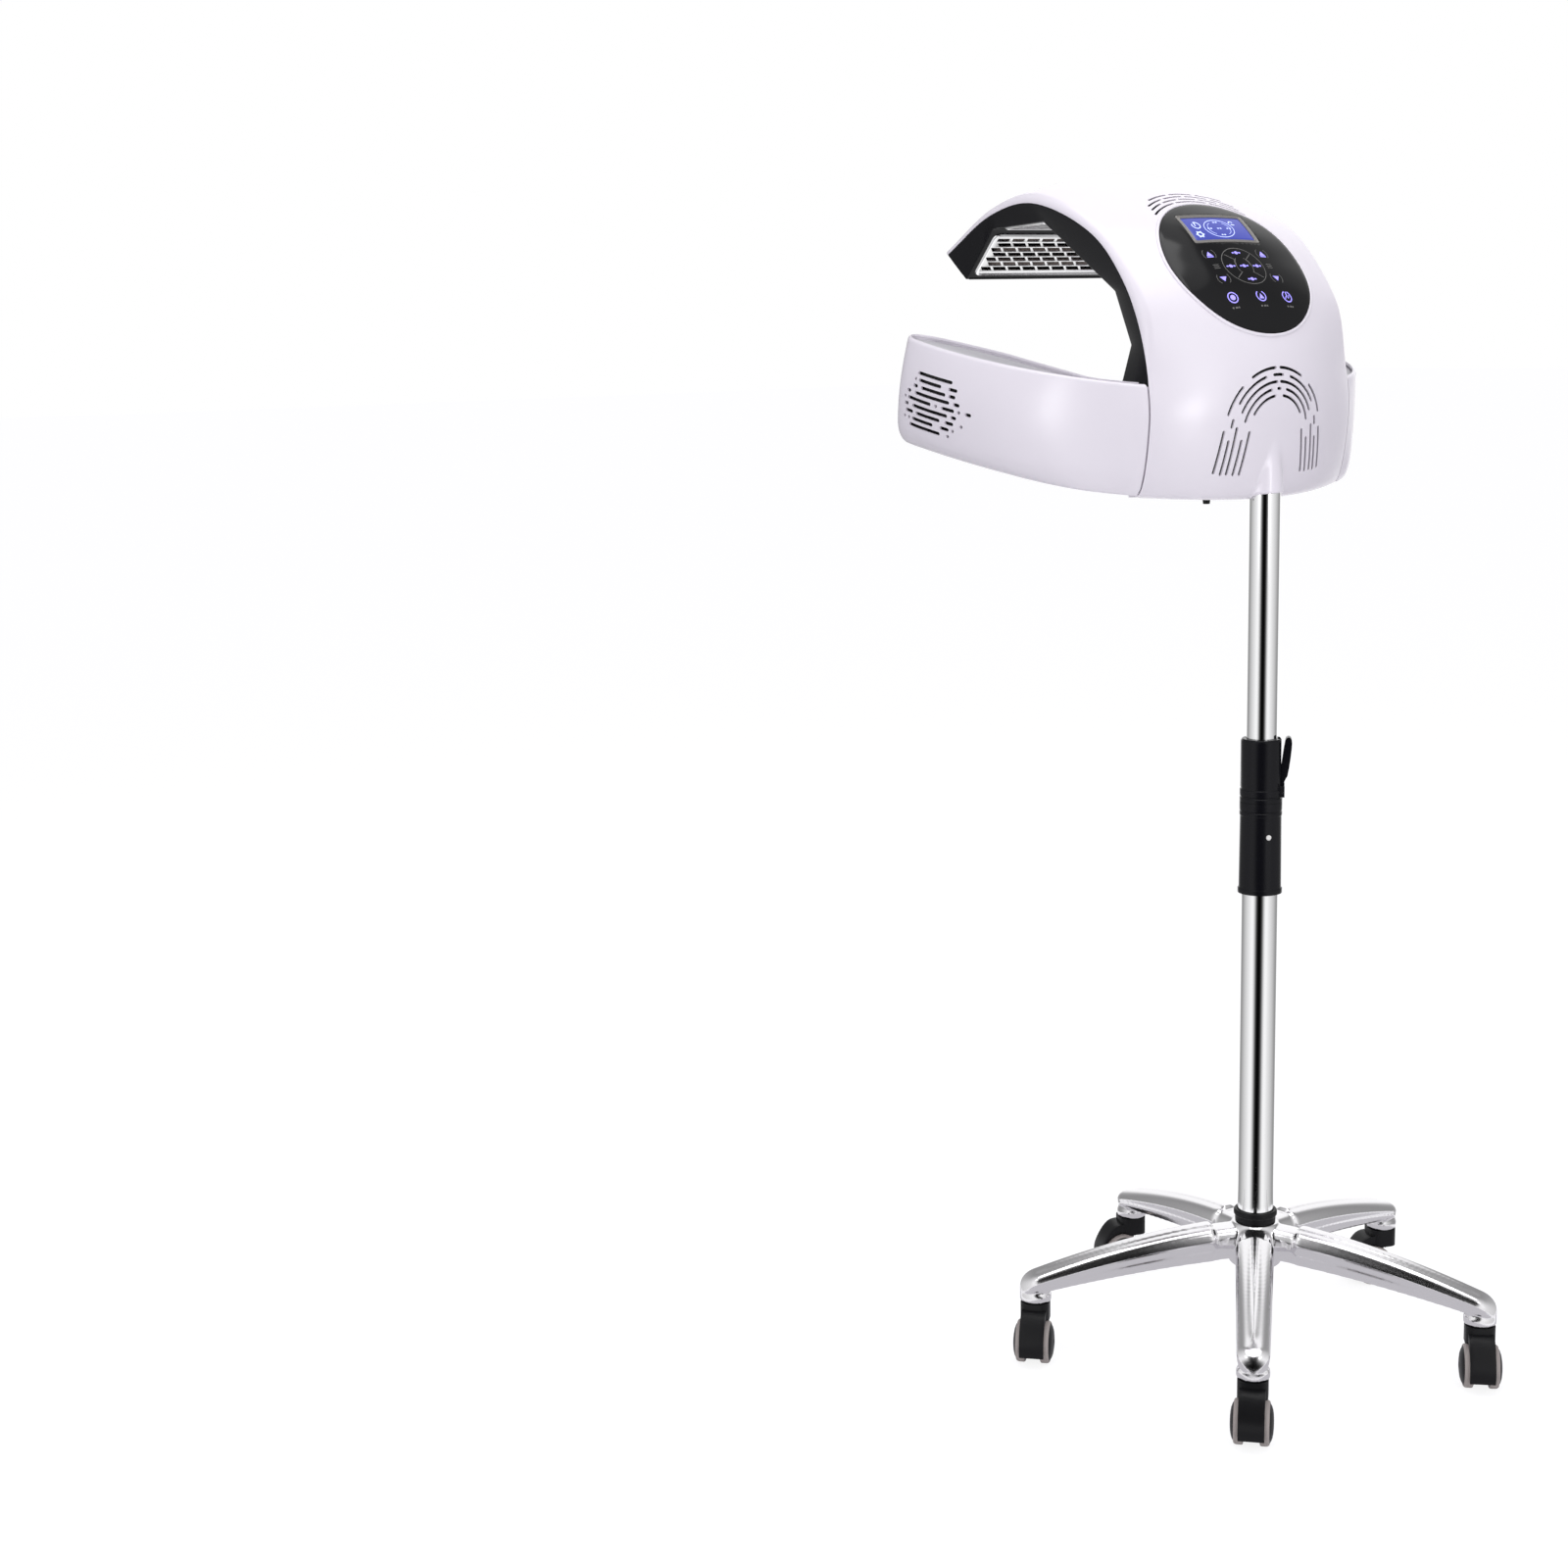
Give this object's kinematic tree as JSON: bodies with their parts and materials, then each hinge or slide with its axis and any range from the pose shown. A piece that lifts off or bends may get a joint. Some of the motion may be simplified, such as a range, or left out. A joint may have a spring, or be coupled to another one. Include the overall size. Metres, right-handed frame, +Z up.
{
  "type": "hair color processor",
  "caption": "Salon hair processor: domed infrared hood with touch panel and two curved side wings on a telescopic chrome mast over a star base with casters.",
  "frame": {"origin": "on the floor, on the mast's axis", "axes": "+Z up the mast, +Y from the control panel towards the client, +X to the right for someone facing the panel"},
  "size_m": [0.5651, 0.6871, 1.37],
  "materials": {
    "white_plastic": "glossy moulded white with a faint cool tint",
    "grey_plastic": "satin light grey lid",
    "black_plastic": "satin black moulding",
    "panel_gloss": "polished black touch panel",
    "lcd_screen": "blue back-lit display window",
    "circuit_board": "green lacquered board",
    "chrome": "bright chrome plate",
    "cast_aluminium": "polished casting",
    "steel": "plain turned steel",
    "nylon": "natural nylon",
    "emitter": "dark baked heater coating",
    "caster_tread": "taupe tread on a black hub"
  },
  "bodies": {
    "stand": {"base_star": "cast_aluminium", "hub_collar": "black_plastic", "lower_tube": "chrome", "sleeve_body": "black_plastic", "clamp_head": "black_plastic", "lever_pin": "steel", "lock_shoe": "steel", "sleeve_peg": "nylon"},
    "lever": {"clamp_lever": "black_plastic"},
    "mast": {"upper_tube": "chrome", "mast_foot_bush": "nylon", "mast_spigot": "steel", "thrust_washer": "nylon"},
    "head": {"dome_shell": "white_plastic", "dome_liner": "black_plastic", "bottom_cover": "white_plastic", "control_panel": "panel_gloss", "lcd_bezel": "black_plastic", "lcd_glass": "lcd_screen", "control_board": "circuit_board", "grille_front": "chrome", "grille_top": "chrome", "grille_rear": "chrome", "heater_front": "emitter", "heater_top": "emitter", "heater_rear": "emitter", "socket_bracket": "black_plastic", "cord_gland": "black_plastic", "hinge_pin_l": "steel", "hinge_pin_r": "steel"},
    "wing_l": {"wing_shell_l": "white_plastic", "wing_cap_l": "grey_plastic", "wing_grille_l": "chrome", "wing_heater_l": "emitter"},
    "wing_r": {"wing_shell_r": "white_plastic", "wing_cap_r": "grey_plastic", "wing_grille_r": "chrome", "wing_heater_r": "emitter"},
    "caster_1": {"caster_1_hood": "black_plastic"},
    "caster_1_a": {"caster_1_wheel_a": "caster_tread"},
    "caster_1_b": {"caster_1_wheel_b": "caster_tread"},
    "caster_2": {"caster_2_hood": "black_plastic"},
    "caster_2_a": {"caster_2_wheel_a": "caster_tread"},
    "caster_2_b": {"caster_2_wheel_b": "caster_tread"},
    "caster_3": {"caster_3_hood": "black_plastic"},
    "caster_3_a": {"caster_3_wheel_a": "caster_tread"},
    "caster_3_b": {"caster_3_wheel_b": "caster_tread"},
    "caster_4": {"caster_4_hood": "black_plastic"},
    "caster_4_a": {"caster_4_wheel_a": "caster_tread"},
    "caster_4_b": {"caster_4_wheel_b": "caster_tread"},
    "caster_5": {"caster_5_hood": "black_plastic"},
    "caster_5_a": {"caster_5_wheel_a": "caster_tread"},
    "caster_5_b": {"caster_5_wheel_b": "caster_tread"}
  },
  "joints": [
    {"name": "mast_height", "type": "slide", "parent": "stand", "child": "mast", "axis": [0, 0, 1], "range_m": [-0.22, 0.13]},
    {"name": "head_swivel", "type": "hinge", "parent": "mast", "child": "head", "pos_m": [0, 0, 1.02], "axis": [0, 0, 1], "range_deg": [-170, 170]},
    {"name": "clamp_squeeze", "type": "hinge", "parent": "stand", "child": "lever", "pos_m": [0.01726, -0.01638, 0.669], "axis": [-0.6884, -0.7254, 0], "range_deg": [0, 7], "stiffness_Nm_per_rad": 0.6},
    {"name": "wing_l_hinge", "type": "hinge", "parent": "head", "child": "wing_l", "pos_m": [-0.1543, 0.035, 1.102], "axis": [0, 0, 1], "range_deg": [0, 6]},
    {"name": "wing_r_hinge", "type": "hinge", "parent": "head", "child": "wing_r", "pos_m": [0.1543, 0.035, 1.102], "axis": [0, 0, -1], "range_deg": [0, 6]},
    {"name": "caster_1_swivel", "type": "hinge", "parent": "stand", "child": "caster_1", "pos_m": [-0.1831, -0.19295, 0.08], "axis": [0, 0, 1], "continuous": true},
    {"name": "caster_1_a_roll", "type": "hinge", "parent": "caster_1", "child": "caster_1_a", "pos_m": [-0.19523, -0.20487, 0.025], "axis": [0.7009, -0.7132, 0], "continuous": true},
    {"name": "caster_1_b_roll", "type": "hinge", "parent": "caster_1", "child": "caster_1_b", "pos_m": [-0.19523, -0.20487, 0.025], "axis": [0.7009, -0.7132, 0], "continuous": true},
    {"name": "caster_2_swivel", "type": "hinge", "parent": "stand", "child": "caster_2", "pos_m": [0.12692, -0.23377, 0.08], "axis": [0, 0, 1], "continuous": true},
    {"name": "caster_2_a_roll", "type": "hinge", "parent": "caster_2", "child": "caster_2_a", "pos_m": [0.11566, -0.2465, 0.025], "axis": [0.749, -0.6626, 0], "continuous": true},
    {"name": "caster_2_b_roll", "type": "hinge", "parent": "caster_2", "child": "caster_2_b", "pos_m": [0.11566, -0.2465, 0.025], "axis": [0.749, -0.6626, 0], "continuous": true},
    {"name": "caster_3_swivel", "type": "hinge", "parent": "stand", "child": "caster_3", "pos_m": [0.26155, 0.04847, 0.08], "axis": [0, 0, 1], "continuous": true},
    {"name": "caster_3_a_roll", "type": "hinge", "parent": "caster_3", "child": "caster_3_a", "pos_m": [0.24542, 0.05387, 0.025], "axis": [-0.3173, -0.9483, 0], "continuous": true},
    {"name": "caster_3_b_roll", "type": "hinge", "parent": "caster_3", "child": "caster_3_b", "pos_m": [0.24542, 0.05387, 0.025], "axis": [-0.3173, -0.9483, 0], "continuous": true},
    {"name": "caster_4_swivel", "type": "hinge", "parent": "stand", "child": "caster_4", "pos_m": [0.03472, 0.26372, 0.08], "axis": [0, 0, 1], "continuous": true},
    {"name": "caster_4_a_roll", "type": "hinge", "parent": "caster_4", "child": "caster_4_a", "pos_m": [0.0186, 0.26912, 0.025], "axis": [-0.3173, -0.9483, 0], "continuous": true},
    {"name": "caster_4_b_roll", "type": "hinge", "parent": "caster_4", "child": "caster_4_b", "pos_m": [0.0186, 0.26912, 0.025], "axis": [-0.3173, -0.9483, 0], "continuous": true},
    {"name": "caster_5_swivel", "type": "hinge", "parent": "stand", "child": "caster_5", "pos_m": [-0.24009, 0.11452, 0.08], "axis": [0, 0, 1], "continuous": true},
    {"name": "caster_5_a_roll", "type": "hinge", "parent": "caster_5", "child": "caster_5_a", "pos_m": [-0.25221, 0.1026, 0.025], "axis": [0.7009, -0.7132, 0], "continuous": true},
    {"name": "caster_5_b_roll", "type": "hinge", "parent": "caster_5", "child": "caster_5_b", "pos_m": [-0.25221, 0.1026, 0.025], "axis": [0.7009, -0.7132, 0], "continuous": true}
  ]
}
